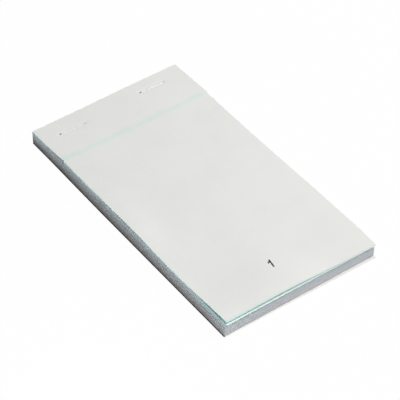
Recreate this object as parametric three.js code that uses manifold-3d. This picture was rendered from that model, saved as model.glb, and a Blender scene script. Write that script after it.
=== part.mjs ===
import * as THREE from "three";
import { mergeVertices } from "three/addons/utils/BufferGeometryUtils.js";
import Module from "manifold-3d";

// A waiter's pad of carbonless duplicate sets, stapled to a greyboard at its head.
// Millimetres. +Z is up, +Y points to the stapled head, +X to the reader's right,
// and the origin is under the middle of the pad, on the surface that it lies on.

// The pad
const PAD_WIDTH = 76;
const PAD_LENGTH = 140;
const BOARD_THICKNESS = 0.8;
const PLY_THICKNESS = 0.06;
const PLIES_PER_SET = 2;
const SET_COUNT = 50;
// The sets on top whose leaves lift one by one. The others lie still until they come up.
const WORKING_SETS = 2;

// The perforation line, measured from the head, and the rule that cuts it
const STUB_LENGTH = 23.2;
const PERFORATION_PITCH = 2;
const TIE_WIDTH = 0.5;
const CUT_OPENING = 0.25;
// Whole sets under the working ones that have every cut. Deeper ones show only the end cuts.
const SETS_CUT_RIGHT_ACROSS = 1;

// The staples: flat wire, its crown pressed level with the paper, its ends clinched inward
const WIRE_WIDTH = 0.6;
const WIRE_THICKNESS = 0.48;
const CROWN_LENGTH = 12.9;
const BEND_RADIUS = 0.4;
const CLINCH_TIP_GAP = 3.7;
const CHISEL_LENGTH = 0.5;
const BEND_SEGMENTS = 5;

// Where each staple sits: its outer leg from the pad's side, its crown from the head,
// and its tilt, because a hand-fed stapler never lands twice in the same place
const LEFT_STAPLE_FROM_SIDE = 8.9;
const LEFT_STAPLE_FROM_HEAD = 8.6;
const LEFT_STAPLE_TILT_DEG = -1.8;
const RIGHT_STAPLE_FROM_SIDE = 10.9;
const RIGHT_STAPLE_FROM_HEAD = 6.4;
const RIGHT_STAPLE_TILT_DEG = -0.9;

// Room round the wire in the paper and in the board
const WIRE_CLEARANCE = 0.05;

// Heights closer together than this are the same height
const SAME_HEIGHT = 0.001;

const PLY_COUNT = SET_COUNT * PLIES_PER_SET;
const PAD_TOP = plyLevel(PLY_COUNT);
const HEAD_Y = PAD_LENGTH / 2;
const FOOT_Y = -PAD_LENGTH / 2;
const PERFORATION_Y = HEAD_Y - STUB_LENGTH;
const CROWN_UNDERSIDE = PAD_TOP - WIRE_THICKNESS;
const CLINCH_LENGTH = (CROWN_LENGTH - CLINCH_TIP_GAP) / 2;

const STAPLES = [
  {
    name: "staple_left",
    x: -PAD_WIDTH / 2 + LEFT_STAPLE_FROM_SIDE + CROWN_LENGTH / 2,
    y: HEAD_Y - LEFT_STAPLE_FROM_HEAD,
    tilt: THREE.MathUtils.degToRad(LEFT_STAPLE_TILT_DEG),
  },
  {
    name: "staple_right",
    x: PAD_WIDTH / 2 - RIGHT_STAPLE_FROM_SIDE - CROWN_LENGTH / 2,
    y: HEAD_Y - RIGHT_STAPLE_FROM_HEAD,
    tilt: THREE.MathUtils.degToRad(RIGHT_STAPLE_TILT_DEG),
  },
];

const wasm = await Module();
wasm.setup();

// Materials

const topPaper = () => new THREE.MeshStandardMaterial({ color: 0xf4f5f2, roughness: 0.85, metalness: 0 });
const paper = () => new THREE.MeshStandardMaterial({ color: 0xe6e8e8, roughness: 0.9, metalness: 0 });
const greyboard = () => new THREE.MeshStandardMaterial({ color: 0x9b948b, roughness: 0.95, metalness: 0 });
const stapleSteel = () => new THREE.MeshStandardMaterial({ color: 0xc9cacb, roughness: 0.3, metalness: 1 });

// Levels in the stack

// The height of the top of a number of plies, counted up from the board.
function plyLevel(plies) {
  return BOARD_THICKNESS + plies * PLY_THICKNESS;
}

// Sets are counted from the top of the pad, as they are used.
function setBottomPlies(number) {
  return (SET_COUNT - number) * PLIES_PER_SET;
}

// A flat piece between two heights. Both faces are put exactly at their heights,
// so that the piece on top starts where this one ends.
function sheetBetween(outline, low, high) {
  const geometry = new THREE.ExtrudeGeometry(outline, {
    depth: high - low,
    bevelEnabled: false,
    curveSegments: BEND_SEGMENTS,
  });
  const position = geometry.getAttribute("position");
  const middle = (high - low) / 2;
  for (let i = 0; i < position.count; i += 1) {
    position.setZ(i, position.getZ(i) > middle ? high : low);
  }
  return geometry;
}

// Cutting one shape out of another

function solidOf(geometry) {
  const plain = geometry.clone();
  plain.deleteAttribute("normal");
  plain.deleteAttribute("uv");
  const merged = mergeVertices(plain);
  return new wasm.Manifold(
    new wasm.Mesh({
      numProp: 3,
      vertProperties: merged.getAttribute("position").array,
      triVerts: new Uint32Array(merged.index.array),
    }),
  );
}

function geometryOf(solid) {
  const mesh = solid.getMesh();
  const geometry = new THREE.BufferGeometry();
  geometry.setAttribute("position", new THREE.BufferAttribute(mesh.vertProperties, 3));
  geometry.setIndex(new THREE.BufferAttribute(mesh.triVerts, 1));
  geometry.computeVertexNormals();
  return geometry;
}

function cutOut(geometry, cutters) {
  const cut = cutters.reduce((solid, cutter) => solid.subtract(solidOf(cutter)), solidOf(geometry));
  return geometryOf(cut);
}

// Staples

// How far the inside of a bend stands in from the leg, at a distance past the crown or clinch.
function bendReach(distance) {
  const left = THREE.MathUtils.clamp(BEND_RADIUS - distance, 0, BEND_RADIUS);
  return BEND_RADIUS - Math.sqrt(BEND_RADIUS ** 2 - left ** 2);
}

// How far the wire reaches in from the outside of its leg, between two heights.
function wireReach(low, high) {
  if (low < WIRE_THICKNESS - SAME_HEIGHT) {
    return CLINCH_LENGTH;
  }
  return WIRE_THICKNESS + Math.max(bendReach(CROWN_UNDERSIDE - high), bendReach(low - WIRE_THICKNESS));
}

// The staple seen from the foot of the pad: one bent strip, open between its clinched ends.
function stapleProfile() {
  const half = CROWN_LENGTH / 2;
  const inner = half - WIRE_THICKNESS;
  const outerRadius = BEND_RADIUS + WIRE_THICKNESS;
  const tip = CLINCH_TIP_GAP / 2;
  const up = Math.PI / 2;
  const profile = new THREE.Shape();
  profile.moveTo(-tip, WIRE_THICKNESS);
  profile.lineTo(-tip - CHISEL_LENGTH, 0);
  profile.absarc(-half + outerRadius, outerRadius, outerRadius, -up, -2 * up, true);
  profile.absarc(-half + outerRadius, PAD_TOP - outerRadius, outerRadius, 2 * up, up, true);
  profile.absarc(half - outerRadius, PAD_TOP - outerRadius, outerRadius, up, 0, true);
  profile.absarc(half - outerRadius, outerRadius, outerRadius, 0, -up, true);
  profile.lineTo(tip + CHISEL_LENGTH, 0);
  profile.lineTo(tip, WIRE_THICKNESS);
  profile.absarc(inner - BEND_RADIUS, outerRadius, BEND_RADIUS, -up, 0, false);
  profile.absarc(inner - BEND_RADIUS, PAD_TOP - outerRadius, BEND_RADIUS, 0, up, false);
  profile.absarc(-inner + BEND_RADIUS, PAD_TOP - outerRadius, BEND_RADIUS, up, 2 * up, false);
  profile.absarc(-inner + BEND_RADIUS, outerRadius, BEND_RADIUS, 2 * up, 3 * up, false);
  profile.closePath();
  return profile;
}

function stapleMesh(staple) {
  const geometry = new THREE.ExtrudeGeometry(stapleProfile(), {
    depth: WIRE_WIDTH,
    bevelEnabled: false,
    curveSegments: BEND_SEGMENTS,
  });
  geometry.translate(0, 0, -WIRE_WIDTH / 2);
  geometry.rotateX(Math.PI / 2);
  const mesh = new THREE.Mesh(geometry, stapleSteel());
  mesh.name = staple.name;
  mesh.position.set(staple.x, staple.y, 0);
  mesh.rotation.z = staple.tilt;
  return mesh;
}

// A rectangle in the staple's own directions, from and to along its crown, as a hole in a sheet.
function holeAlong(staple, from, to) {
  const side = WIRE_WIDTH / 2 + WIRE_CLEARANCE;
  const corners = [
    [from, -side],
    [from, side],
    [to, side],
    [to, -side],
  ];
  const placed = corners.map(([along, across]) =>
    new THREE.Vector2(along, across)
      .rotateAround(new THREE.Vector2(0, 0), staple.tilt)
      .add(new THREE.Vector2(staple.x, staple.y)),
  );
  return new THREE.Path(placed);
}

// The openings that one staple makes in a sheet lying between two heights: a slot where
// the crown is pressed into it, and below that a hole for each leg.
function stapleOpenings(staple, low, high) {
  const outer = CROWN_LENGTH / 2 + WIRE_CLEARANCE;
  if (high > CROWN_UNDERSIDE + SAME_HEIGHT) {
    return [holeAlong(staple, -outer, outer)];
  }
  const inner = CROWN_LENGTH / 2 - wireReach(low, high) - WIRE_CLEARANCE;
  return [holeAlong(staple, -outer, -inner), holeAlong(staple, inner, outer)];
}

// The perforation

// Where the paper is left between the cuts, from one side of the pad to the other.
function tieCentres() {
  const count = Math.round(PAD_WIDTH / PERFORATION_PITCH);
  const first = -((count - 1) * PERFORATION_PITCH) / 2;
  return Array.from({ length: count }, (_, index) => first + index * PERFORATION_PITCH);
}

// The torn-off edge from the left side to the right: straight along the cuts, with half
// of each tie standing out to the perforation line. Outward is 1 for a slip, -1 for a stub.
function combEdge(outward) {
  const root = PERFORATION_Y - (outward * CUT_OPENING) / 2;
  const points = [new THREE.Vector2(-PAD_WIDTH / 2, root)];
  for (const centre of tieCentres()) {
    points.push(new THREE.Vector2(centre - TIE_WIDTH / 2, root));
    points.push(new THREE.Vector2(centre - TIE_WIDTH / 2, PERFORATION_Y));
    points.push(new THREE.Vector2(centre + TIE_WIDTH / 2, PERFORATION_Y));
    points.push(new THREE.Vector2(centre + TIE_WIDTH / 2, root));
  }
  points.push(new THREE.Vector2(PAD_WIDTH / 2, root));
  return points;
}

// The cuts at the two sides of the pad are notches in the outline of a whole sheet.
function wholeSheetOutline() {
  const side = PAD_WIDTH / 2;
  const ties = tieCentres();
  const notchEnd = -ties[0] + TIE_WIDTH / 2;
  const half = CUT_OPENING / 2;
  return new THREE.Shape([
    new THREE.Vector2(-side, FOOT_Y),
    new THREE.Vector2(side, FOOT_Y),
    new THREE.Vector2(side, PERFORATION_Y - half),
    new THREE.Vector2(notchEnd, PERFORATION_Y - half),
    new THREE.Vector2(notchEnd, PERFORATION_Y + half),
    new THREE.Vector2(side, PERFORATION_Y + half),
    new THREE.Vector2(side, HEAD_Y),
    new THREE.Vector2(-side, HEAD_Y),
    new THREE.Vector2(-side, PERFORATION_Y + half),
    new THREE.Vector2(-notchEnd, PERFORATION_Y + half),
    new THREE.Vector2(-notchEnd, PERFORATION_Y - half),
    new THREE.Vector2(-side, PERFORATION_Y - half),
  ]);
}

// The cuts between neighbouring ties, each a bar that goes right through a sheet.
function innerCuts(low, high) {
  const ties = tieCentres();
  return ties.slice(1).map((right, index) => {
    const left = ties[index];
    const cut = new THREE.BoxGeometry(right - left - TIE_WIDTH, CUT_OPENING, 2 * (high - low));
    return cut.translate((left + right) / 2, PERFORATION_Y, (low + high) / 2);
  });
}

// Sheets

function stubOutline(low, high) {
  const outline = new THREE.Shape([
    ...combEdge(-1),
    new THREE.Vector2(PAD_WIDTH / 2, HEAD_Y),
    new THREE.Vector2(-PAD_WIDTH / 2, HEAD_Y),
  ]);
  outline.holes = STAPLES.flatMap((staple) => stapleOpenings(staple, low, high));
  return outline;
}

function slipOutline() {
  return new THREE.Shape([
    new THREE.Vector2(-PAD_WIDTH / 2, FOOT_Y),
    new THREE.Vector2(PAD_WIDTH / 2, FOOT_Y),
    ...combEdge(1).reverse(),
  ]);
}

function sheetMesh(name, geometry, material) {
  const mesh = new THREE.Mesh(geometry, material);
  mesh.name = name;
  return mesh;
}

// One ply of a working set: the stub that stays under the staples, and the slip that
// lifts, folds over and tears off along the perforation.
function workingLeaf(name, bottomPly, material) {
  const low = plyLevel(bottomPly);
  const high = plyLevel(bottomPly + 1);
  const leaf = new THREE.Group();
  leaf.add(sheetMesh(`${name}_stub`, sheetBetween(stubOutline(low, high), low, high), material()));
  leaf.add(sheetMesh(`${name}_slip`, sheetBetween(slipOutline(), low, high), material()));
  return leaf;
}

// A set is a top copy on its duplicate, both with the set's number.
function workingSet(number) {
  const label = String(number).padStart(2, "0");
  const bottom = setBottomPlies(number);
  const set = new THREE.Group();
  set.add(workingLeaf(`top_copy_${label}`, bottom + 1, topPaper));
  set.add(workingLeaf(`duplicate_${label}`, bottom, paper));
  return set;
}

// A set further down, both plies together, still whole from head to foot.
function wholeSet(number) {
  const low = plyLevel(setBottomPlies(number));
  const high = plyLevel(setBottomPlies(number) + PLIES_PER_SET);
  const outline = wholeSheetOutline();
  outline.holes = STAPLES.flatMap((staple) => stapleOpenings(staple, low, high));
  const cuts = number <= WORKING_SETS + SETS_CUT_RIGHT_ACROSS ? innerCuts(low, high) : [];
  const sheet = cutOut(sheetBetween(outline, low, high), cuts);
  return sheetMesh(`set_${String(number).padStart(2, "0")}`, sheet, paper());
}

// The board

// The two grooves that a staple's clinched ends are pressed into, under the board.
function clinchGrooves(staple) {
  const outer = CROWN_LENGTH / 2 + WIRE_CLEARANCE;
  const tip = CLINCH_TIP_GAP / 2 - WIRE_CLEARANCE;
  return [
    [-outer, -tip],
    [tip, outer],
  ].map(([from, to]) => {
    const groove = new THREE.BoxGeometry(to - from, WIRE_WIDTH + 2 * WIRE_CLEARANCE, 2 * WIRE_THICKNESS);
    groove.translate((from + to) / 2, 0, 0);
    groove.rotateZ(staple.tilt);
    groove.translate(staple.x, staple.y, 0);
    return groove;
  });
}

function boardMesh() {
  const side = PAD_WIDTH / 2;
  const outline = new THREE.Shape([
    new THREE.Vector2(-side, FOOT_Y),
    new THREE.Vector2(side, FOOT_Y),
    new THREE.Vector2(side, HEAD_Y),
    new THREE.Vector2(-side, HEAD_Y),
  ]);
  outline.holes = STAPLES.flatMap((staple) => stapleOpenings(staple, WIRE_THICKNESS, BOARD_THICKNESS));
  const board = cutOut(sheetBetween(outline, 0, BOARD_THICKNESS), STAPLES.flatMap(clinchGrooves));
  const mesh = new THREE.Mesh(board, greyboard());
  mesh.name = "back_board";
  return mesh;
}

// The pad, from the board up

const pad = new THREE.Group();
pad.add(boardMesh());
for (let number = SET_COUNT; number > WORKING_SETS; number -= 1) {
  pad.add(wholeSet(number));
}
for (let number = WORKING_SETS; number >= 1; number -= 1) {
  pad.add(workingSet(number));
}
for (const staple of STAPLES) {
  pad.add(stapleMesh(staple));
}

export default pad;
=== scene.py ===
import math
import random

import bmesh
import bpy
from mathutils import Matrix, Vector


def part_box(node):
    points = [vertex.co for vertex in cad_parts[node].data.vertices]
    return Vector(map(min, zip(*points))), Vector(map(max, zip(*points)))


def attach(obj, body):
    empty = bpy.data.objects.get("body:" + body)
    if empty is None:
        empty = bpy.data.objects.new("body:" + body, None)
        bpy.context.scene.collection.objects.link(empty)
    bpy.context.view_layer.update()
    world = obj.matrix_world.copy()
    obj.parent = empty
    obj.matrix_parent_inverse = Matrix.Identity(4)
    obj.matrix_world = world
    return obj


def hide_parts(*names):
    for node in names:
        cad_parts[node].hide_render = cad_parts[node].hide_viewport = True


# A waiter's pad of carbonless duplicate sets: a greyboard, fifty sets of two sheets, and
# two staples at the head. +Y points to the head, +X to the right, the pad lies on z = 0.
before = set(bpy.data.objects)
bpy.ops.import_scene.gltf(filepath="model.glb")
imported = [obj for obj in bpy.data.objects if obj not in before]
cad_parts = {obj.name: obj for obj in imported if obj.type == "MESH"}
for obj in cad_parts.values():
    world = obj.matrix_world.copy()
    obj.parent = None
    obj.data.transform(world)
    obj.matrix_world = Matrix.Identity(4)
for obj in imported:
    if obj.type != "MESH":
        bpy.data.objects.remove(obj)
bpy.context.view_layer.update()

# Camera
# The pad is seen from beyond its near left corner, from well above and through a long
# lens, so that opposite edges stay almost parallel.
MM = 0.001
VIEW_AZIMUTH = math.radians(-36.01)
VIEW_ELEVATION = math.radians(44.14)
VIEW_DISTANCE = 919.0 * MM
VIEW_TARGET = Vector((-0.25, -1.10, 0)) * MM
LENS_LENGTH = 196.13
SENSOR_WIDTH = 36

view_back = Vector((
    math.sin(VIEW_AZIMUTH) * math.cos(VIEW_ELEVATION),
    -math.cos(VIEW_AZIMUTH) * math.cos(VIEW_ELEVATION),
    math.sin(VIEW_ELEVATION),
))
bpy.ops.object.camera_add(
    location=VIEW_TARGET + view_back * VIEW_DISTANCE,
    rotation=(math.pi / 2 - VIEW_ELEVATION, 0, VIEW_AZIMUTH),
)
camera = bpy.context.object
camera.name = "camera"
camera.data.lens = LENS_LENGTH
camera.data.sensor_width = SENSOR_WIDTH
bpy.context.scene.camera = camera

# Greyboard
# The back of the pad is thin recycled board, cut with the paper, so its rim is square with
# edges just broken. Its underside has two grooves per staple for the clinched wire ends.
SIDE_X = 38 * MM
HEAD_Y = 70 * MM
FOOT_Y = -70 * MM
PAPER_TOP = 6.8 * MM
BOARD_RIM = 0.12 * MM
RIM_STEPS = 2
RIM_ROUNDNESS = 0.6
SAME_PLACE = 0.001 * MM
SAME_PLANE = math.radians(1)
BOARD_GREY = (0.43, 0.40, 0.37, 1)
BOARD_DARK = (0.28, 0.26, 0.24, 1)
BOARD_PALE = (0.52, 0.49, 0.455, 1)
# Painted shade for the board's left rim.
BOARD_PAINTED_SHADE = (0.026, 0.022, 0.020, 1)

# The knife left the pad a little out of square: its left side leans in at the top and out at
# the bottom, its right side bulges towards the foot and draws in at its corners, and its foot
# leans in under the sheets.
LEAN_OUT = 0.50 * MM
LEAN_OUT_FROM_Y = 19 * MM
LEAN_OUT_REACH = 48 * MM
LEAN_IN = 0.40 * MM
LEAN_IN_FROM_Y = 49 * MM
LEAN_IN_REACH = 19 * MM
RIGHT_BELLY = 0.68 * MM
RIGHT_BELLY_Y = (-56 * MM, -39 * MM)
RIGHT_BELLY_REACH = 50 * MM
CORNER_IN = 0.42 * MM
CORNER_IN_REACH = 20 * MM
HEAD_CORNER_IN = 0.30 * MM
HEAD_CORNER_REACH = 12 * MM
FOOT_RECESS = 0.26 * MM

# The sides are cut across here so that they can bend, in millimetres from the pad's middle.
LEAN_CUTS_Y = (30, 16, -20, -45)


def open_for_editing(piece):
    bpy.ops.object.select_all(action="DESELECT")
    piece.select_set(True)
    bpy.context.view_layer.objects.active = piece
    bpy.ops.object.mode_set(mode="EDIT")


def copy_of_node(node_name, piece_name):
    """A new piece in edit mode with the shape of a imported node, its triangles made whole faces."""
    piece = bpy.data.objects.new(piece_name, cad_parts[node_name].data.copy())
    piece.data.materials.clear()
    bpy.context.collection.objects.link(piece)
    open_for_editing(piece)
    bpy.ops.mesh.customdata_custom_splitnormals_clear()
    bpy.ops.mesh.select_all(action="SELECT")
    bpy.ops.mesh.remove_doubles(threshold=SAME_PLACE)
    bpy.ops.mesh.dissolve_limited(angle_limit=SAME_PLANE)
    return piece


def pick_points(piece, wanted):
    """Selects the points of the open piece whose place passes the test, and what they enclose."""
    bpy.ops.mesh.select_mode(type="VERT")
    bpy.ops.mesh.select_all(action="DESELECT")
    shape = bmesh.from_edit_mesh(piece.data)
    for point in shape.verts:
        point.select = wanted(point.co)
    shape.select_flush(True)
    bmesh.update_edit_mesh(piece.data)


def cut_across(place, direction):
    """Cuts the open piece's faces on a plane, without taking anything away."""
    bpy.ops.mesh.select_all(action="SELECT")
    bpy.ops.mesh.bisect(plane_co=place, plane_no=direction)


def pull(distance, reach, falloff="SHARP"):
    """Moves the selected points, and those within reach of them less and less."""
    bpy.ops.transform.translate(
        value=distance,
        use_proportional_edit=True,
        proportional_edit_falloff=falloff,
        proportional_size=reach,
    )


def cut_out_of_square(piece, height):
    """Moves the rim of the open piece as the knife left it at the piece's height in the pad."""
    raised = height / PAPER_TOP
    rim_width = 2 * BOARD_RIM
    near_rim = SIDE_X - rim_width
    belly_foot, belly_head = RIGHT_BELLY_Y
    pick_points(piece, lambda p: p.x < -near_rim and p.y < LEAN_IN_FROM_Y)
    pull((LEAN_IN * raised, 0, 0), LEAN_IN_REACH, "SMOOTH")
    pick_points(piece, lambda p: p.x < -near_rim and p.y < LEAN_OUT_FROM_Y)
    pull((-LEAN_OUT * (1 - raised), 0, 0), LEAN_OUT_REACH, "SMOOTH")
    pick_points(piece, lambda p: p.x > near_rim and belly_foot < p.y < belly_head)
    pull((RIGHT_BELLY, 0, 0), RIGHT_BELLY_REACH, "SMOOTH")
    pick_points(piece, lambda p: p.x > near_rim and p.y < FOOT_Y + rim_width)
    pull((-CORNER_IN, 0, 0), CORNER_IN_REACH, "SMOOTH")
    pick_points(piece, lambda p: p.x > near_rim and p.y > HEAD_Y - rim_width)
    pull((-HEAD_CORNER_IN, 0, 0), HEAD_CORNER_REACH, "SMOOTH")
    pick_points(piece, lambda p: p.y < FOOT_Y + rim_width)
    bpy.ops.transform.translate(value=(0, FOOT_RECESS * (1 - raised), 0))


def new_material(name):
    material = bpy.data.materials.new(name)
    material.use_nodes = True
    return material


def node(material, kind, inputs=(), **settings):
    """A shader node. Each input is given a plain value, or the output of another node."""
    made = material.node_tree.nodes.new("ShaderNode" + kind)
    for setting, value in settings.items():
        setattr(made, setting, value)
    for place, value in dict(inputs).items():
        if isinstance(value, bpy.types.NodeSocket):
            material.node_tree.links.new(value, made.inputs[place])
        else:
            made.inputs[place].default_value = value
    return made


def object_place(material):
    return node(material, "TexCoord").outputs["Object"]


def place_of(material, axis):
    return node(material, "SeparateXYZ", {"Vector": object_place(material)}).outputs[axis]


def noise(material, size, place=None, detail=2.0, roughness=0.5):
    """Noise between 0 and 1 whose cells are about as large as the size."""
    inputs = {"Scale": 1 / size, "Detail": detail, "Roughness": roughness}
    inputs["Vector"] = object_place(material) if place is None else place
    return node(material, "TexNoise", inputs).outputs["Fac"]


def ease(material, value, start, end, low=0.0, high=1.0):
    """Goes smoothly from low to high while the value goes from start to end."""
    inputs = {"Value": value, "From Min": start, "From Max": end, "To Min": low, "To Max": high}
    return node(material, "MapRange", inputs, interpolation_type="SMOOTHSTEP").outputs["Result"]


def combined(material, operation, first, second=0.0):
    return node(material, "Math", {0: first, 1: second}, operation=operation).outputs[0]


def blend_colours(material, share, first, second, blend_type="MIX"):
    inputs = {0: share, 6: first, 7: second}
    return node(material, "Mix", inputs, data_type="RGBA", blend_type=blend_type).outputs[2]


def stretched_place(material, stretch):
    """The object's own place, drawn out along the axes where the stretch is under 1."""
    inputs = {"Vector": object_place(material), "Scale": stretch}
    return node(material, "Mapping", inputs).outputs[0]


def bumps(material, height, depth, before=None):
    inputs = {"Height": height, "Distance": depth}
    if before is not None:
        inputs["Normal"] = before
    return node(material, "Bump", inputs).outputs["Normal"]


def finish_surface(material, colour, roughness, normal=None, **constants):
    """Puts colour, roughness and relief on the material's own shader."""
    shader = material.node_tree.nodes["Principled BSDF"]
    linked = {"Base Color": colour, "Roughness": roughness, "Normal": normal}
    for socket, value in linked.items():
        if value is not None:
            material.node_tree.links.new(value, shader.inputs[socket])
    for socket, value in constants.items():
        shader.inputs[socket.replace("_", " ")].default_value = value


# The pulp is cloudy, with darker flecks and fine fibres drawn out along the pad, and its left
# rim is darkened with painted shade. An EASE is the start and end of a value, and the low and
# high that it turns into where these aren't 0 and 1.
PULP_CLOUD = 3.5 * MM
PULP_CLOUD_DEPTH = 0.05 * MM
PULP_CLOUD_EASE = (0.35, 0.7)
PULP_FLECK = 0.45 * MM
PULP_FLECK_STRETCH = (1, 0.35, 1)
PULP_FLECK_EASE = (0.62, 0.74, 0.0, 0.8)
PULP_FIBRE = 0.12 * MM
PULP_FIBRE_STRETCH = (1, 0.3, 1)
PULP_FIBRE_DEPTH = 0.03 * MM
# Where the painted shade darkens the board's left rim, across the rim and along it.
RIM_SHADE_EASE = (0.4 * MM - SIDE_X, -SIDE_X)
RIM_SHADE_ALONG_EASE = (-66 * MM, -25 * MM, 0.93, 1.0)
BOARD_ROUGHNESS_EASE = (0.2, 0.8, 0.82, 0.95)


def greyboard_material():
    board = new_material("greyboard")
    cloud = noise(board, PULP_CLOUD, detail=3)
    colour = blend_colours(board, ease(board, cloud, *PULP_CLOUD_EASE), BOARD_GREY, BOARD_PALE)
    fleck = noise(board, PULP_FLECK, stretched_place(board, PULP_FLECK_STRETCH))
    colour = blend_colours(board, ease(board, fleck, *PULP_FLECK_EASE), colour, BOARD_DARK)
    # Painted shade: the board's left rim is darkened, less so towards the foot.
    darkening = ease(board, place_of(board, "X"), *RIM_SHADE_EASE)
    along = ease(board, place_of(board, "Y"), *RIM_SHADE_ALONG_EASE)
    darkening = combined(board, "MULTIPLY", darkening, along)
    colour = blend_colours(board, darkening, colour, BOARD_PAINTED_SHADE)
    fibre = noise(board, PULP_FIBRE, stretched_place(board, PULP_FIBRE_STRETCH), detail=3)
    normal = bumps(board, fibre, PULP_FIBRE_DEPTH, bumps(board, cloud, PULP_CLOUD_DEPTH))
    finish_surface(board, colour, ease(board, fibre, *BOARD_ROUGHNESS_EASE), normal)
    return board


def make_greyboard():
    board = copy_of_node("back_board", "greyboard_back")
    pick_points(board, lambda p: abs(p.x) > SIDE_X - SAME_PLACE or abs(p.y) > HEAD_Y - SAME_PLACE)
    bpy.ops.mesh.bevel(offset=BOARD_RIM, segments=RIM_STEPS, profile=RIM_ROUNDNESS)
    for y in LEAN_CUTS_Y:
        cut_across((0, y * MM, 0), (0, 1, 0))
    cut_out_of_square(board, 0)
    bpy.ops.object.mode_set(mode="OBJECT")
    board.data.materials.append(greyboard_material())
    return board


greyboard = make_greyboard()
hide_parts("back_board")
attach(greyboard, "pad")

# Whole sets
# Under the sets in use lie the others, each a white top copy on its pale blue-green duplicate,
# stapled as they came to hand, so that no edge is quite over the next.
PLY = 0.06 * MM
LAST_SET = 50
FIRST_WHOLE_SET = 3
SKEW_ANGLE = math.radians(0.0015)
SLACK = 0.005 * MM
PLY_SHARE = 0.98
JITTER_SEED = 50
jitter = random.Random(JITTER_SEED)

# Each staple has the middle of its crown here, and how far it is turned.
STAPLE_PLACES = (
    (Vector((-22.65, 61.4, 0)) * MM, math.radians(-1.8)),
    (Vector((20.65, 63.6, 0)) * MM, math.radians(-0.9)),
)
CROWN_HALF = 6.45 * MM
SLOT_HALF_WIDTH = 0.37 * MM
PRESSED_DEPTH = 1.5 * MM

# A crown lies in a dimple of the sheets on top, in a slot whose lips close on the wire. At its
# left end the slot is torn open a little past the wire. The rings are in millimetres.
DIMPLE_DEPTH = 0.09 * MM
DIMPLE_REACH = 2.2 * MM
DIMPLE_RINGS = (-2.2, -1.5, -0.95, -0.6, 0.6, 0.95, 1.5, 2.2)
DIMPLE_STEP = 1.05 * MM
DIMPLE_HALF_STEPS = 8
TORN_HOLE = 0.40 * MM
SIDE_LIP = 0.045 * MM
END_LIP = 0.30 * MM

# The perforation line is a row of fine cuts, with a notch at each side of the pad.
PERFORATION_Y = 46.8 * MM
CUT_HALF_WIDTH = 0.13 * MM
CUT_CLOSES_TO = 0.12
NOTCH_X = 37.2 * MM
NOTCH_MOUTH = 0.5 * MM
NOTCH_SPREAD = 0.5 * MM
NOTCH_CLOSES = 2.3 * MM

# Pressure colours this paper, so the sheets on top have blue-green stains where they were cut.
# The cut edges of the stack are greyer than the faces, in part as painted shade of the gaps
# between the sheets, dusty, soiled in places, and darker low down at the left side, a painted shade.
WHITE_FACE = (0.812, 0.808, 0.775, 1)
# The edge colours are greyer than the faces, in part as painted shade of the gaps between sheets.
WHITE_EDGE = (0.54, 0.553, 0.588, 1)
WHITE_STAIN = (0.61, 0.80, 0.75, 1)
PALE_FACE = (0.755, 0.82, 0.812, 1)
PALE_EDGE = (0.485, 0.498, 0.53, 1)
PALE_STAIN = (0.48, 0.89, 0.86, 1)
EDGE_STAIN = (0.44, 0.80, 0.78, 1)
# Used for the soiled knife marks, and as painted shade low down at the left side.
EDGE_SOIL_AND_SHADE = (0.28, 0.265, 0.268, 1)
DUSTY_SHARE = 0.91


def press_in(piece, middle, tilt, share):
    """Dimples the open sheet along a staple's crown and draws its slot to the wire."""
    along = Vector((math.cos(tilt), math.sin(tilt), 0))
    across = Vector((-math.sin(tilt), math.cos(tilt), 0))
    turned_back = Matrix.Rotation(-tilt, 3, "Z")
    for ring in DIMPLE_RINGS:
        cut_across(middle + across * ring * MM, across)
    for step in range(-DIMPLE_HALF_STEPS, DIMPLE_HALF_STEPS + 1):
        cut_across(middle + along * step * DIMPLE_STEP, along)

    def pick_lip(first, last, side=0):
        """The slot's own points between two places along the crown, on one side or both."""

        def on_lip(p):
            local = turned_back @ (p - middle)
            in_slot = first < local.x < last and abs(local.y) < SLOT_HALF_WIDTH
            return in_slot and local.y * side >= 0

        pick_points(piece, on_lip)

    slot_end = CROWN_HALF + SLOT_HALF_WIDTH
    pick_lip(-slot_end, slot_end)
    pull((0, 0, -DIMPLE_DEPTH * share), DIMPLE_REACH)
    for side in (-1, 1):
        pick_lip(-CROWN_HALF, slot_end, side)
        bpy.ops.transform.translate(value=-side * across * SIDE_LIP)
    pick_lip(-slot_end, -CROWN_HALF)
    bpy.ops.transform.translate(value=-along * TORN_HOLE)
    pick_lip(CROWN_HALF, slot_end)
    bpy.ops.transform.translate(value=-along * END_LIP * share)


def press_staples_in(piece):
    """The dimples are shallower the deeper the sheet lies, down to where nothing gives."""
    heights = [p.co.z for p in bmesh.from_edit_mesh(piece.data).verts]
    share = 1 - (PAPER_TOP - sum(heights) / len(heights)) / PRESSED_DEPTH
    if share > 0:
        for middle, tilt in STAPLE_PLACES:
            press_in(piece, middle, tilt, share)


def open_notch(piece, share):
    """Spreads the perforation's notch at the left side of the open whole sheet."""
    for side in (-1, 1):

        def at_mouth(p):
            aside = side * (p.y - PERFORATION_Y)
            return p.x < -NOTCH_X - NOTCH_MOUTH and 0 < aside < 2 * CUT_HALF_WIDTH

        pick_points(piece, at_mouth)
        bpy.ops.transform.translate(value=(0, side * NOTCH_SPREAD * share, 0))


def close_cuts(piece):
    """Draws the lips of the perforation's cuts together, the notches at the sides too."""
    pick_points(piece, lambda p: abs(p.y - PERFORATION_Y) < CUT_HALF_WIDTH)
    bpy.ops.transform.resize(value=(1, CUT_CLOSES_TO, 1), center_override=(0, PERFORATION_Y, 0))


CUT_EDGE_EASE = (0.3, 0.7, 1.0, 0.0)


def on_cut_edge(material):
    """1 on the cut edges of a sheet, 0 on its faces, by the direction in the sheet's own space."""
    normal = node(material, "TexCoord").outputs["Normal"]
    upward = node(material, "SeparateXYZ", {"Vector": normal}).outputs["Z"]
    return ease(material, combined(material, "ABSOLUTE", upward), *CUT_EDGE_EASE)


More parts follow.
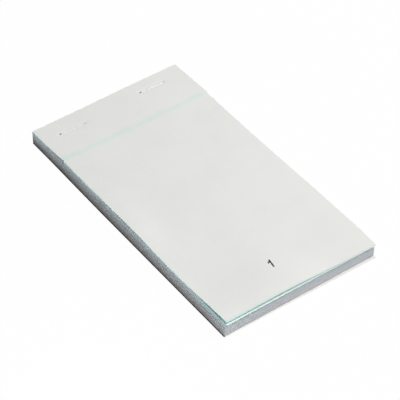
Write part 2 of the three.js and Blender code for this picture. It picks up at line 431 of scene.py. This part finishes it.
# The stain along the perforation wanders a little off it, is ragged and patchy, is deeper and
# higher at its left end, and is gone at its right end.
LINE_WANDER = 9 * MM
ONLY_ALONG_X = (1, 0, 0)
LINE_WANDER_EASE = (0.3, 0.7, PERFORATION_Y - 0.3 * MM, PERFORATION_Y + 0.5 * MM)
LINE_HIGHER_EASE = (-36 * MM, -24 * MM, 0.7 * MM, 0.1 * MM)
LINE_RAGS = 1.6 * MM
LINE_RAGS_EASE = (0.25, 0.75, -0.4 * MM, 0.4 * MM)
LINE_PATCHES = 4.5 * MM
LINE_PATCHES_EASE = (0.3, 0.7, 0.17, 0.5)
LINE_LEFT_EASE = (-36 * MM, -27 * MM, 2.0, 1.0)
LINE_RIGHT_EASE = (34 * MM, 37 * MM, 1.0, 0.0)
LINE_BAND_EASE = (0.25 * MM, 2.5 * MM, 1.0, 0.0)


def line_stain(material):
    x = place_of(material, "X")
    wander = noise(material, LINE_WANDER, stretched_place(material, ONLY_ALONG_X))
    middle = ease(material, wander, *LINE_WANDER_EASE)
    middle = combined(material, "ADD", middle, ease(material, x, *LINE_HIGHER_EASE))
    distance = combined(material, "SUBTRACT", place_of(material, "Y"), middle)
    distance = combined(material, "ABSOLUTE", distance)
    ragged = ease(material, noise(material, LINE_RAGS, detail=3), *LINE_RAGS_EASE)
    distance = combined(material, "ADD", distance, ragged)
    patchy = ease(material, noise(material, LINE_PATCHES), *LINE_PATCHES_EASE)
    to_left = ease(material, x, *LINE_LEFT_EASE)
    to_right = ease(material, x, *LINE_RIGHT_EASE)
    share = combined(material, "MULTIPLY", to_left, to_right)
    share = combined(material, "MULTIPLY", patchy, share)
    return combined(material, "MULTIPLY", ease(material, distance, *LINE_BAND_EASE), share)


# Round the rim the stains are strong at the left and fade to this share towards the right.
FADED = 0.1
RIM_STAIN_FADES_X = (-10 * MM, 32 * MM)
RIM_STAIN_Z_EASE = (PAPER_TOP - 0.9 * MM, PAPER_TOP - 0.3 * MM)
RIM_STAIN_EASE = (0.0, 1.1 * MM, 1.0, 0.0)
BAND_STAIN_FADES_X = (0.0, 28 * MM)
BAND_STARTS_EASE = (0.165 * MM, 0.85 * MM)
BAND_ENDS_EASE = (1.5 * MM, 2.2 * MM, 1.0, 0.0)


def from_rim(material):
    """The distance from the left side or the foot of a sheet, whichever is nearer."""
    from_side = combined(material, "ADD", place_of(material, "X"), SIDE_X)
    from_foot = combined(material, "SUBTRACT", place_of(material, "Y"), FOOT_Y)
    return combined(material, "MINIMUM", from_side, from_foot)


def rim_stain(material, share):
    """The stain along the left side and the foot of the sheets on top, fading to the right."""
    to_right = ease(material, place_of(material, "X"), *RIM_STAIN_FADES_X, share, FADED * share)
    below = ease(material, place_of(material, "Z"), *RIM_STAIN_Z_EASE)
    reach = ease(material, from_rim(material), *RIM_STAIN_EASE)
    return combined(material, "MULTIPLY", reach, combined(material, "MULTIPLY", to_right, below))


def band_stain(material, share):
    """The band a little inside a duplicate's rim, where the knife pressed two sheets together."""
    to_right = ease(material, place_of(material, "X"), *BAND_STAIN_FADES_X, share, FADED * share)
    starts = ease(material, from_rim(material), *BAND_STARTS_EASE)
    ends = ease(material, from_rim(material), *BAND_ENDS_EASE)
    return combined(material, "MULTIPLY", to_right, combined(material, "MULTIPLY", starts, ends))


EDGE_TRACE_EASE = (1.5 * MM, 5.8 * MM, 0.0, 0.10)
EDGE_FRESH_EASE = (PAPER_TOP - 1.1 * MM, PAPER_TOP - 0.2 * MM, 0.0, 0.62)
EDGE_SLIPS_EASE = (40 * MM, 46 * MM, 1.0, 0.1)
EDGE_FADE_EASE = (0.0, 34 * MM, 1.0, 0.0)


def edge_stain(material):
    """The stain on the cut edges: a trace of it half way up, and much on the slips in use."""
    z = place_of(material, "Z")
    on_slips = ease(material, place_of(material, "Y"), *EDGE_SLIPS_EASE)
    to_right = ease(material, place_of(material, "X"), *EDGE_FADE_EASE)
    fresh = combined(material, "MULTIPLY", on_slips, to_right)
    fresh = combined(material, "MULTIPLY", ease(material, z, *EDGE_FRESH_EASE), fresh)
    return combined(material, "ADD", ease(material, z, *EDGE_TRACE_EASE), fresh)


# The knife left soiled flecks and upright scratches on the cut edges, in wide patches.
KNIFE_FLECK = 0.7 * MM
KNIFE_FLECK_STRETCH = (1, 1, 1.4)
KNIFE_FLECK_GRAIN = 0.65
KNIFE_FLECK_EASE = (0.5, 0.8, 0.0, 0.13)
KNIFE_SCRATCH = 0.6 * MM
KNIFE_SCRATCH_STRETCH = (1, 1, 0.2)
KNIFE_SCRATCH_EASE = (0.5, 0.75, 0.0, 0.11)
KNIFE_PATCH = 13 * MM
KNIFE_PATCH_EASE = (0.35, 0.65, 0.3, 1.0)


def knife_marks(material):
    place = stretched_place(material, KNIFE_FLECK_STRETCH)
    fleck = noise(material, KNIFE_FLECK, place, detail=3, roughness=KNIFE_FLECK_GRAIN)
    fleck = ease(material, fleck, *KNIFE_FLECK_EASE)
    scratch = noise(material, KNIFE_SCRATCH, stretched_place(material, KNIFE_SCRATCH_STRETCH))
    scratch = ease(material, scratch, *KNIFE_SCRATCH_EASE)
    patch = ease(material, noise(material, KNIFE_PATCH, detail=1), *KNIFE_PATCH_EASE)
    return combined(material, "MULTIPLY", combined(material, "ADD", fleck, scratch), patch)


# Painted shade: the cut edges darken towards the bottom at the left side, less at the foot.
LOW_SHADE_Z_EASE = (0.3 * MM, 5.2 * MM, 1.0, 0.0)
LOW_SHADE_X_EASE = (-SIDE_X, 1.0 * MM - SIDE_X, 1.0, 0.0)
LOW_SHADE_Y_EASE = (-68 * MM, -52 * MM, 0.35, 1.0)


def shade_low_on_left(material):
    """Painted shade: the lower sheets' edges are darker at the left side, less so at the foot."""
    low = ease(material, place_of(material, "Z"), *LOW_SHADE_Z_EASE)
    left = ease(material, place_of(material, "X"), *LOW_SHADE_X_EASE)
    along = ease(material, place_of(material, "Y"), *LOW_SHADE_Y_EASE)
    return combined(material, "MULTIPLY", low, combined(material, "MULTIPLY", left, along))


# The paper is faintly cloudy, with a finer formation and fibres in its surface, and the cut
# edges of the stack show its layers.
PAPER_CLOUD = 16 * MM
PAPER_CLOUD_EASE = (0.3, 0.7, 0.975, 1.0)
FORMATION = 0.9 * MM
FORMATION_GRAIN = 0.6
FORMATION_EASE = (0.25, 0.75, 0.985, 1.005)
FORMATION_DEPTH = 0.006 * MM
LAYERS = 0.4 * MM
LAYERS_STRETCH = (0.3, 0.3, 5)
LAYERS_EASE = (0.35, 0.7)
PAPER_FIBRE = 0.16 * MM
PAPER_FIBRE_STRETCH = (1, 0.4, 1)
PAPER_FIBRE_DEPTH = 0.004 * MM
PAPER_ROUGHNESS_EASE = (0.2, 0.8, 0.62, 0.78)
PAPER_SHINE = 0.3
RIM_STAIN_SHARE = 0.8
BAND_STAIN_SHARE = 0.85


def paper_material(name, face, edge, stain, stain_at_rim, share):
    """Carbonless paper with greyer cut edges, and a stain where it was cut."""
    paper = new_material(name)
    cloud = ease(paper, noise(paper, PAPER_CLOUD), *PAPER_CLOUD_EASE)
    formation = noise(paper, FORMATION, detail=4, roughness=FORMATION_GRAIN)
    tone = combined(paper, "MULTIPLY", cloud, ease(paper, formation, *FORMATION_EASE))
    tone = node(paper, "CombineColor", {0: tone, 1: tone, 2: tone}).outputs[0]
    stained = combined(paper, "MAXIMUM", line_stain(paper), stain_at_rim(paper, share))
    front = blend_colours(paper, stained, face, stain)
    layers = noise(paper, LAYERS, stretched_place(paper, LAYERS_STRETCH), detail=3)
    dusty = [DUSTY_SHARE * part for part in edge[:3]] + [1]
    side = blend_colours(paper, ease(paper, layers, *LAYERS_EASE), edge, dusty)
    side = blend_colours(paper, edge_stain(paper), side, EDGE_STAIN)
    # Soiled knife marks, and painted shade low down at the left side.
    darkening = combined(paper, "MAXIMUM", knife_marks(paper), shade_low_on_left(paper))
    side = blend_colours(paper, darkening, side, EDGE_SOIL_AND_SHADE)
    colour = blend_colours(paper, on_cut_edge(paper), front, side)
    colour = blend_colours(paper, 1.0, colour, tone, "MULTIPLY")
    fibre = noise(paper, PAPER_FIBRE, stretched_place(paper, PAPER_FIBRE_STRETCH), detail=3)
    normal = bumps(paper, fibre, PAPER_FIBRE_DEPTH, bumps(paper, formation, FORMATION_DEPTH))
    roughness = ease(paper, fibre, *PAPER_ROUGHNESS_EASE)
    finish_surface(paper, colour, roughness, normal, Specular_IOR_Level=PAPER_SHINE)
    return paper


white_sheet = paper_material(
    "white_sheet", WHITE_FACE, WHITE_EDGE, WHITE_STAIN, rim_stain, RIM_STAIN_SHARE
)
pale_sheet = paper_material(
    "pale_sheet", PALE_FACE, PALE_EDGE, PALE_STAIN, band_stain, BAND_STAIN_SHARE
)


def make_whole_set(number):
    """Both sheets of a set, the duplicate and the top copy on it, each a little out of line."""
    piece = copy_of_node(f"set_{number:02d}", f"sheets_of_set_{number:02d}")
    low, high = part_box(f"set_{number:02d}")
    piece.data.materials.append(pale_sheet)
    piece.data.materials.append(white_sheet)
    press_staples_in(piece)
    close_cuts(piece)
    open_notch(piece, max(0, 1 - (PAPER_TOP - low.z) / NOTCH_CLOSES))
    for y in LEAN_CUTS_Y:
        cut_across((0, y * MM, 0), (0, 1, 0))
    cut_out_of_square(piece, low.z)
    one_sheet = PLY_SHARE * PLY / (high.z - low.z)
    bpy.ops.mesh.select_all(action="SELECT")
    bpy.ops.transform.resize(value=(1, 1, one_sheet), center_override=(0, 0, low.z))
    bpy.ops.mesh.duplicate()
    bpy.ops.transform.translate(value=(0, 0, PLY))
    piece.active_material_index = 1
    bpy.ops.object.material_slot_assign()
    staples_y = STAPLE_PLACES[0][0].y
    for _ in range(2):
        aside = (jitter.gauss(0, SLACK), jitter.gauss(0, SLACK), 0)
        turn = jitter.gauss(0, SKEW_ANGLE)
        bpy.ops.transform.translate(value=aside)
        bpy.ops.transform.rotate(value=turn, orient_axis="Z", center_override=(0, staples_y, 0))
        bpy.ops.mesh.select_all(action="INVERT")
    bpy.ops.object.mode_set(mode="OBJECT")
    return piece


for set_number in range(LAST_SET, FIRST_WHOLE_SET - 1, -1):
    whole_set = make_whole_set(set_number)
    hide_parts(f"set_{set_number:02d}")
    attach(whole_set, "pad")

# Sheets in use
# The top two sets are four single sheets. Each has a stub under the staples and a slip that
# folds over and tears off at the perforation. The topmost slip has begun to curl at its foot.
SHEETS_IN_USE = (
    ("duplicate_02", pale_sheet, "duplicate_paper"),
    ("top_copy_02", white_sheet, "top_paper"),
    ("duplicate_01", pale_sheet, "duplicate_paper"),
    ("top_copy_01", white_sheet, "top_paper"),
)
STUB_NICK = Vector((0.25, 0.7, 0)) * MM
SLIP_NICK = Vector((0.1, -0.15, 0)) * MM
HEAD_SPREAD = 0.24 * MM
HEAD_SPREAD_REACH = 4 * MM
HEAD_SPREAD_FROM_X = 4 * MM
HEAD_NARROWS = 0.15 * MM
LINE_WIDENS = 0.4 * MM
SLIDE_REACH = 30 * MM
FOOT_SLIDE = 0.42 * MM
DUPLICATE_SLIDE = 0.64 * MM
SMOOTH_SHEET = math.radians(30)

# The slips are cut into small faces where they curl, in millimetres from the pad's middle.
SLIP_CUTS_Y = (
    *(-68.5, -67, -65.5, -64, -62, -60, -57.5, -55, -52, -49),
    *(-45, -40, -30, -20, -10, 0, 10, 22, 30, 45),
)
SLIP_CUTS_X = (
    *(-37, -36, -34, -32, -29, -26, -22, -18, -14, -10),
    *(-5, 0, 5, 10, 14, 18, 22, 26, 30, 34),
)


def sheet_copy(node_name, piece_name):
    """A new sheet in edit mode, a breath thinner than its node, so that it lies free."""
    sheet = copy_of_node(node_name, piece_name)
    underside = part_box(node_name)[0].z
    bpy.ops.mesh.select_all(action="SELECT")
    bpy.ops.transform.resize(value=(1, 1, PLY_SHARE), center_override=(0, 0, underside))
    return sheet


def spread_topmost(stub):
    """The first stub stands out a little at the right end of the perforation and of the head."""
    pick_points(stub, lambda p: p.x > SIDE_X - SAME_PLACE and p.y < PERFORATION_Y + MM)
    bpy.ops.transform.translate(value=(LINE_WIDENS, 0, 0))
    pick_points(stub, lambda p: p.x > SIDE_X - MM and p.y > HEAD_Y - SAME_PLACE)
    bpy.ops.transform.translate(value=(-HEAD_NARROWS, 0, 0))
    pick_points(stub, lambda p: p.x > HEAD_SPREAD_FROM_X and p.y > HEAD_Y - SAME_PLACE)
    pull((0, HEAD_SPREAD, 0), HEAD_SPREAD_REACH, "SMOOTH")


def make_stub(sheet_name, material):
    stub = sheet_copy(f"{sheet_name}_stub", f"stub_of_{sheet_name}")
    press_staples_in(stub)
    close_cuts(stub)
    cut_out_of_square(stub, PAPER_TOP)
    pick_points(stub, lambda p: p.x < -NOTCH_X and p.y < PERFORATION_Y + MM)
    bpy.ops.transform.translate(value=STUB_NICK)
    if sheet_name == "top_copy_01":
        spread_topmost(stub)
    bpy.ops.object.mode_set(mode="OBJECT")
    stub.data.materials.append(material)
    return stub


# Where the slips are picked, how far that part is moved, and how far round it the rest follows.
RIGHT_END = SIDE_X + MM
NEAR_SIDE_X = 37 * MM
TOP_NARROWS = ((-1, 20 * MM, 0.2 * MM), (1, 18 * MM, 0.28 * MM))
TOP_NARROWS_REACH = 26 * MM
CURL_END_X = -5 * MM
CURL_LIFT = 1.2 * MM
CURL_REACH = 32 * MM
FOOT_LIFT = 0.45 * MM
FOOT_LIFT_REACH = 30 * MM
WAVE_X = -36.5 * MM
WAVE_Y = (-13 * MM, 3 * MM)
WAVE_LIFT = 0.6 * MM
WAVE_REACH = 14 * MM
TORN_LENGTH = 0.3 * MM
LOOSE_END_X = 10 * MM
LOOSE_LIFT = 0.12 * MM
LOOSE_REACH = 12 * MM


def at_foot(p, as_far_as):
    return p.y < FOOT_Y + SAME_PLACE and p.x < as_far_as


def narrow_topmost(slip):
    """The first slip was cut a little narrow at its top."""
    for side, from_y, inward in TOP_NARROWS:
        pick_points(slip, lambda p: p.x * side > NEAR_SIDE_X and p.y > from_y)
        pull((-side * inward, 0, 0), TOP_NARROWS_REACH, "SMOOTH")


def curl_topmost(slip):
    """The first slip curls up at its foot, and waves a little along its left side."""
    pick_points(slip, lambda p: at_foot(p, CURL_END_X))
    pull((0, 0, CURL_LIFT), CURL_REACH, "SMOOTH")
    pick_points(slip, lambda p: at_foot(p, RIGHT_END))
    pull((0, 0, FOOT_LIFT), FOOT_LIFT_REACH, "SMOOTH")
    wave_foot, wave_head = WAVE_Y
    pick_points(slip, lambda p: p.x < WAVE_X and wave_foot < p.y < wave_head)
    pull((0, 0, WAVE_LIFT), WAVE_REACH, "SMOOTH")


def slide_down(slip, distance):
    """The two slips of the first set reach a little past the foot of the others."""
    pick_points(slip, lambda p: at_foot(p, RIGHT_END))
    pull((0, -distance, 0), SLIDE_REACH, "SMOOTH")


def nick_corner(slip):
    """The slip has started to tear at the left end of the perforation."""
    pick_points(slip, lambda p: p.x < -NOTCH_X and p.y > PERFORATION_Y - TORN_LENGTH)
    bpy.ops.transform.translate(value=SLIP_NICK)


def loosen_duplicate(slip):
    """The first duplicate stands off the sheets below it by a hair at its foot."""
    pick_points(slip, lambda p: at_foot(p, LOOSE_END_X))
    pull((0, 0, LOOSE_LIFT), LOOSE_REACH)


def make_slip(sheet_name, material):
    slip = sheet_copy(f"{sheet_name}_slip", f"slip_of_{sheet_name}")
    close_cuts(slip)
    for y in SLIP_CUTS_Y:
        cut_across((0, y * MM, 0), (0, 1, 0))
    for x in SLIP_CUTS_X:
        cut_across((x * MM, 0, 0), (1, 0, 0))
    if sheet_name == "top_copy_01":
        curl_topmost(slip)
        narrow_topmost(slip)
        slide_down(slip, FOOT_SLIDE)
    if sheet_name == "duplicate_01":
        loosen_duplicate(slip)
        slide_down(slip, DUPLICATE_SLIDE)
    cut_out_of_square(slip, PAPER_TOP)
    nick_corner(slip)
    bpy.ops.object.mode_set(mode="OBJECT")
    slip.data.materials.append(material)
    bpy.ops.object.shade_smooth_by_angle(angle=SMOOTH_SHEET)
    return slip


for sheet_name, sheet_material, sheet_slot in SHEETS_IN_USE:
    stub = make_stub(sheet_name, sheet_material)
    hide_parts(f"{sheet_name}_stub")
    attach(stub, "pad")
    slip = make_slip(sheet_name, sheet_material)
    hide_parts(f"{sheet_name}_slip")
    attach(slip, sheet_name)

# Set numbers
# Each set's number is printed in black near the foot of both of its sheets, set a little
# aslant by the numbering wheel. The first whole set shows its number when the others are gone.
NUMBER_HEIGHT = 4.8 * MM
NUMBER_FOOT = Vector((-3.46, -56.44, 0)) * MM
NUMBER_SLANT = math.radians(-10.8)
NUMBER_ROWS = 6
INK_DEPTH = 0.004 * MM
ABOVE_PAD = 5 * MM
INK_BLACK = (0.012, 0.012, 0.013, 1)
INK_THIN = (0.05, 0.05, 0.052, 1)
INK_CLOUD = 0.3 * MM
INK_CLOUD_DEPTH = 0.002 * MM
INK_COLOUR_EASE = (0.45, 0.75)
INK_ROUGHNESS_EASE = (0.3, 0.7, 0.45, 0.7)

# These are in the typeface's own units. The one is a plain bar, and is given a flag.
GLYPH_HEIGHT = 0.682
GLYPH_NEAR = 0.01
FLAG_BELOW_TOP = 0.10
FLAG_THICKNESS = 0.13
FLAG_DROP = Vector((-0.13, -0.085, 0))

# A digit, the piece that it is printed on, and the body that it moves with
NUMBERED_SHEETS = (
    ("3", "sheets_of_set_03", "pad"),
    ("2", "slip_of_duplicate_02", "duplicate_02"),
    ("2", "slip_of_top_copy_02", "top_copy_02"),
    ("1", "slip_of_duplicate_01", "duplicate_01"),
    ("1", "slip_of_top_copy_01", "top_copy_01"),
)


def ink_material():
    ink = new_material("numbering_ink")
    coverage = noise(ink, INK_CLOUD, detail=3)
    colour = blend_colours(ink, ease(ink, coverage, *INK_COLOUR_EASE), INK_BLACK, INK_THIN)
    roughness = ease(ink, coverage, *INK_ROUGHNESS_EASE)
    finish_surface(ink, colour, roughness, bumps(ink, coverage, INK_CLOUD_DEPTH))
    return ink


def digit_shape(digit, name):
    """The flat digit, in edit mode, with its foot on the origin."""
    bpy.ops.object.select_all(action="DESELECT")
    bpy.ops.object.text_add()
    number = bpy.context.object
    number.name = name
    number.data.body = digit
    number.data.align_x = "CENTER"
    bpy.ops.object.convert(target="MESH")
    open_for_editing(number)
    if digit == "1":
        left = min(p.co.x for p in bmesh.from_edit_mesh(number.data).verts)
        flag_head = GLYPH_HEIGHT - FLAG_BELOW_TOP
        flag_foot = flag_head - FLAG_THICKNESS
        for level in (flag_head, flag_foot):
            cut_across((0, level, 0), (0, 1, 0))

        def at_flag(p):
            beside = flag_foot - GLYPH_NEAR < p.y < flag_head + GLYPH_NEAR
            return beside and p.x < left + GLYPH_NEAR

        pick_points(number, at_flag)
        bpy.ops.mesh.extrude_region_move(TRANSFORM_OT_translate={"value": FLAG_DROP})
    for row in range(1, NUMBER_ROWS):
        cut_across((0, GLYPH_HEIGHT * row / NUMBER_ROWS, 0), (0, 1, 0))
    return number


def print_number(digit, sheet, name):
    """Lays the digit on the sheet, curled or flat, and gives the ink its thickness."""
    number = digit_shape(digit, name)
    enlarged = NUMBER_HEIGHT / GLYPH_HEIGHT
    bpy.ops.mesh.select_all(action="SELECT")
    bpy.ops.transform.resize(value=(enlarged, enlarged, enlarged), center_override=(0, 0, 0))
    bpy.ops.transform.rotate(value=-NUMBER_SLANT, orient_axis="Z", center_override=(0, 0, 0))
    bpy.ops.transform.translate(value=NUMBER_FOOT + Vector((0, 0, PAPER_TOP + ABOVE_PAD)))
    bpy.ops.object.mode_set(mode="OBJECT")
    drop = number.modifiers.new("drop", "SHRINKWRAP")
    drop.target = sheet
    drop.wrap_method = "PROJECT"
    drop.use_project_z = True
    drop.use_negative_direction = True
    drop.use_positive_direction = False
    drop.offset = INK_DEPTH
    bpy.ops.object.modifier_apply(modifier=drop.name)
    open_for_editing(number)
    bpy.ops.mesh.select_all(action="SELECT")
    bpy.ops.mesh.extrude_region_move(TRANSFORM_OT_translate={"value": (0, 0, -2 * INK_DEPTH)})
    bpy.ops.mesh.select_all(action="SELECT")
    bpy.ops.mesh.normals_make_consistent(inside=False)
    bpy.ops.object.mode_set(mode="OBJECT")
    number.data.materials.append(numbering_ink)
    return number


numbering_ink = ink_material()
for digit, sheet_name, body in NUMBERED_SHEETS:
    number = print_number(digit, bpy.data.objects[sheet_name], f"number_on_{sheet_name}")
    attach(number, body)

# Staples
# Two staples of flattened galvanised wire hold the pad at its head: the crown pressed level
# with the paper, the legs through every sheet, their ends clinched inward under the board.
WIRE_WIDTH = 0.6 * MM
WIRE_THICKNESS = 0.48 * MM
WIRE_BEND = 0.15 * MM
CLINCH_TIP = 1.85 * MM
WIRE_CORNER = 0.10 * MM
CORNER_STEPS = 3
BEND_STEPS = 6
CUT_END = (1, 0.8, 0.35)
SMOOTH_WIRE = math.radians(40)
STEEL_BRIGHT = (0.60, 0.60, 0.595, 1)
STEEL_DULL = (0.52, 0.525, 0.53, 1)
SPANGLE = 0.8 * MM
SPANGLE_EASE = (0.35, 0.7)
DRAWN_LINE = 0.12 * MM
DRAWN_LINE_STRETCH = (0.08, 1, 1)
DRAWN_LINE_DEPTH = 0.006 * MM
STEEL_ROUGHNESS_EASE = (0.25, 0.8, 0.48, 0.6)


def steel_material():
    steel = new_material("galvanised_wire")
    drawn = noise(steel, DRAWN_LINE, stretched_place(steel, DRAWN_LINE_STRETCH))
    spangle = noise(steel, SPANGLE, detail=3)
    colour = blend_colours(steel, ease(steel, spangle, *SPANGLE_EASE), STEEL_BRIGHT, STEEL_DULL)
    roughness = ease(steel, drawn, *STEEL_ROUGHNESS_EASE)
    finish_surface(steel, colour, roughness, bumps(steel, drawn, DRAWN_LINE_DEPTH), Metallic=1.0)
    return steel


def make_staple(name, middle, tilt):
    """Bends the wire from the middle of the crown: along, down through the pad, and in again."""
    bend_middle = WIRE_BEND + WIRE_THICKNESS
    leg_x = CROWN_HALF - bend_middle
    bpy.ops.object.select_all(action="DESELECT")
    bpy.ops.mesh.primitive_plane_add(size=1)
    staple = bpy.context.object
    staple.name = name
    open_for_editing(staple)
    bpy.ops.transform.rotate(value=math.pi / 2, orient_axis="Y", center_override=(0, 0, 0))
    bpy.ops.transform.resize(value=(1, WIRE_WIDTH, WIRE_THICKNESS), center_override=(0, 0, 0))
    bpy.ops.transform.translate(value=(0, 0, PAPER_TOP - WIRE_THICKNESS / 2))
    bpy.ops.mesh.bevel(affect="VERTICES", offset=WIRE_CORNER, segments=CORNER_STEPS)
    bpy.ops.mesh.select_all(action="SELECT")
    bpy.ops.mesh.delete(type="ONLY_FACE")
    bpy.ops.mesh.select_all(action="SELECT")
    bpy.ops.mesh.extrude_region_move(TRANSFORM_OT_translate={"value": (leg_x, 0, 0)})
    bpy.ops.mesh.spin(
        steps=BEND_STEPS,
        angle=math.pi / 2,
        center=(leg_x, 0, PAPER_TOP - bend_middle),
        axis=(0, 1, 0),
    )
    leg_length = PAPER_TOP - 2 * bend_middle
    bpy.ops.mesh.extrude_region_move(TRANSFORM_OT_translate={"value": (0, 0, -leg_length)})
    bpy.ops.mesh.spin(
        steps=BEND_STEPS,
        angle=math.pi / 2,
        center=(leg_x, 0, bend_middle),
        axis=(0, 1, 0),
    )
    bpy.ops.mesh.extrude_region_move(TRANSFORM_OT_translate={"value": (CLINCH_TIP - leg_x, 0, 0)})
    bpy.ops.mesh.edge_face_add()
    bpy.ops.transform.resize(value=CUT_END, center_override=(CLINCH_TIP, 0, WIRE_THICKNESS))
    bpy.ops.object.mode_set(mode="OBJECT")
    bpy.ops.object.modifier_add(type="MIRROR")
    staple.modifiers[0].merge_threshold = SAME_PLACE
    bpy.ops.object.modifier_apply(modifier=staple.modifiers[0].name)
    open_for_editing(staple)
    bpy.ops.mesh.select_all(action="SELECT")
    bpy.ops.mesh.normals_make_consistent(inside=False)
    bpy.ops.transform.rotate(value=-tilt, orient_axis="Z", center_override=(0, 0, 0))
    bpy.ops.transform.translate(value=middle)
    bpy.ops.object.mode_set(mode="OBJECT")
    staple.data.materials.append(galvanised_wire)
    bpy.ops.object.shade_smooth_by_angle(angle=SMOOTH_WIRE)
    return staple


galvanised_wire = steel_material()
for side, (middle, tilt) in zip(("left", "right"), STAPLE_PLACES):
    staple = make_staple(f"wire_staple_{side}", middle, tilt)
    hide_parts(f"staple_{side}")
    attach(staple, "pad")

# Floor and light
# A plain white floor and soft daylight from the right, a little towards the reader. The floor
# is open under the pad and clear from below, where the sky is brighter, to show its underside.
FLOOR_SIZE = 4.0
FLOOR_DROP = 0.05 * MM
FLOOR_ALBEDO = (0.80, 0.79, 0.77, 1)
# A darker floor colour, painted shade that is shown only near the pad.
FLOOR_PAINTED_SHADE = (0.68, 0.665, 0.64, 1)
FLOOR_OPENING_MARGIN = 0.2 * MM

# The floor keeps the pad's shadow as far out as this, and beyond that shows plain white. Within
# this reach it is also given a darker colour, a painted shade that fades out away from the pad.
SHADOW_AT_SIDES_EASE = (-10 * MM, 66 * MM, 0.5 * MM, 0.15 * MM)
SHADOW_AT_ENDS_EASE = (-34 * MM, 40 * MM, 0.35 * MM, 1.5 * MM)
GLOW_EASE = (0.1, 1.0, 0.0, 0.985)

LAMP_DIRECTION = Vector((1.1, -0.50, 1.0))
LAMP_DISTANCE = 2.2
LAMP_SIZE = (0.45, 0.45)
LAMP_POWER = 61.5
CARD_PLACE = Vector((-118, -78, 30)) * MM
CARD_SIZE = (30 * MM, 30 * MM)
CARD_POWER = 0.017
TABLE_CARD_PLACE = Vector((-104, -30, 0.5)) * MM
TABLE_CARD_SIZE = (120 * MM, 330 * MM)
TABLE_CARD_POWER = 0.106
AMBIENT_EASE = (-0.02, -0.06, 0.13, 0.9)
AMBIENT_COLOUR = (0.92, 1.0, 1.08, 1)


def seen_directly(material):
    """1 for what the camera, a mirror or glass sees of this, 0 for the light that it gives."""
    rays = node(material, "LightPath").outputs
    seen = combined(material, "MAXIMUM", rays["Is Camera Ray"], rays["Is Glossy Ray"])
    return combined(material, "MAXIMUM", seen, rays["Is Transmission Ray"])


def floor_material():
    floor = new_material("floor")
    tree = floor.node_tree
    tree.nodes.remove(tree.nodes["Principled BSDF"])
    matt = node(floor, "BsdfDiffuse", {"Color": FLOOR_ALBEDO}).outputs[0]
    # Painted shade: near the pad the floor is shown in a darker colour, fading to white away from
    # it.
    shaded = node(floor, "BsdfDiffuse", {"Color": FLOOR_PAINTED_SHADE}).outputs[0]
    white = node(floor, "Emission", {"Color": (1, 1, 1, 1), "Strength": 1.0}).outputs[0]
    beside = combined(floor, "SUBTRACT", combined(floor, "ABSOLUTE", place_of(floor, "X")), SIDE_X)
    before = combined(floor, "SUBTRACT", combined(floor, "ABSOLUTE", place_of(floor, "Y")), HEAD_Y)
    at_sides = ease(floor, place_of(floor, "Y"), *SHADOW_AT_SIDES_EASE)
    at_ends = ease(floor, place_of(floor, "X"), *SHADOW_AT_ENDS_EASE)
    away = combined(
        floor,
        "MAXIMUM",
        combined(floor, "DIVIDE", beside, at_sides),
        combined(floor, "DIVIDE", before, at_ends),
    )
    glow = ease(floor, away, *GLOW_EASE)
    bright = node(floor, "MixShader", {0: glow, 1: shaded, 2: white}).outputs[0]
    shown = node(floor, "MixShader", {0: seen_directly(floor), 1: matt, 2: bright}).outputs[0]
    clear = node(floor, "BsdfTransparent").outputs[0]
    outside = combined(floor, "MAXIMUM", beside, before)
    under_pad = combined(floor, "LESS_THAN", outside, -FLOOR_OPENING_MARGIN)
    from_below = node(floor, "NewGeometry").outputs["Backfacing"]
    unseen = combined(floor, "MAXIMUM", from_below, under_pad)
    shown = node(floor, "MixShader", {0: unseen, 1: shown, 2: clear}).outputs[0]
    tree.links.new(shown, tree.nodes["Material Output"].inputs["Surface"])
    return floor


bpy.ops.object.select_all(action="DESELECT")
bpy.ops.mesh.primitive_plane_add(size=FLOOR_SIZE, location=(0, 0, -FLOOR_DROP))
floor = bpy.context.object
floor.name = "floor"
floor.data.materials.append(floor_material())


def shine(name, place, towards, size, power):
    """A lit sheet that only lights, and isn't seen itself."""
    bpy.ops.object.light_add(type="AREA", location=place)
    lamp = bpy.context.object
    lamp.name = name
    lamp.rotation_euler = (place - towards).to_track_quat("Z", "Y").to_euler()
    lamp.data.shape = "RECTANGLE"
    lamp.data.size, lamp.data.size_y = size
    lamp.data.energy = power
    lamp.visible_camera = False


shine("daylight", LAMP_DIRECTION.normalized() * LAMP_DISTANCE, Vector(), LAMP_SIZE, LAMP_POWER)
left_side = Vector((-SIDE_X, CARD_PLACE.y / 2, PAPER_TOP / 2))
shine("standing_card", CARD_PLACE, left_side, CARD_SIZE, CARD_POWER)
above_table_card = TABLE_CARD_PLACE + Vector((0, 0, 1))
shine("lying_card", TABLE_CARD_PLACE, above_table_card, TABLE_CARD_SIZE, TABLE_CARD_POWER)

world = bpy.data.worlds.new("studio")
world.use_nodes = True
bpy.context.scene.world = world
sky = world.node_tree.nodes["Background"]
ambient = ease(world, place_of(world, "Z"), *AMBIENT_EASE)
world.node_tree.links.new(
    combined(world, "MAXIMUM", ambient, seen_directly(world)),
    sky.inputs["Strength"],
)
world.node_tree.links.new(
    blend_colours(world, seen_directly(world), AMBIENT_COLOUR, (1, 1, 1, 1)),
    sky.inputs["Color"],
)
bpy.context.scene.view_settings.view_transform = "Standard"
